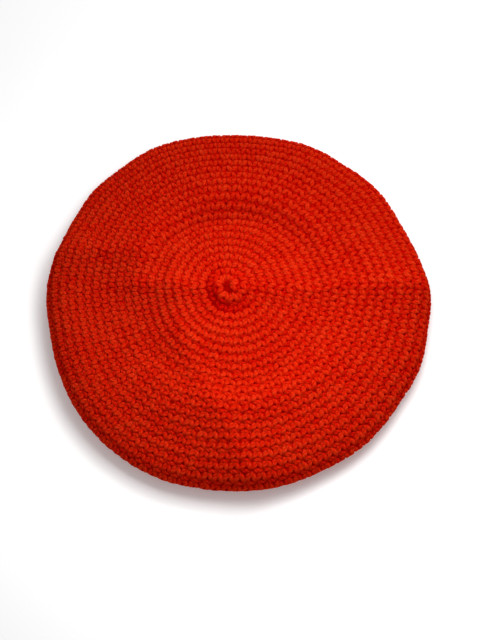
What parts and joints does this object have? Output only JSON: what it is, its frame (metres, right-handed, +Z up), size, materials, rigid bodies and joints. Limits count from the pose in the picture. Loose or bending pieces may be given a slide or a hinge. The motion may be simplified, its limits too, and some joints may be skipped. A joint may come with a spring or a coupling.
{
  "type": "crochet beret",
  "caption": "Round flat beret crocheted in one spiral from thick yarn, with a soft rim turned under and a short headband round the open head hole.",
  "frame": {"origin": "on the table under the middle of the hat's bounding box", "axes": "+Z up out of the crown, +X across the hat to the right of the picture, +Y away from the camera"},
  "size_m": [0.2498, 0.2572, 0.0344],
  "materials": {
    "crown_yarn": "matte crocheted yarn",
    "underside_yarn": "matte crocheted yarn",
    "headband_yarn": "matte crocheted yarn"
  },
  "bodies": {
    "root": {"crown": "crown_yarn", "underside": "underside_yarn", "headband": "headband_yarn"}
  },
  "joints": []
}
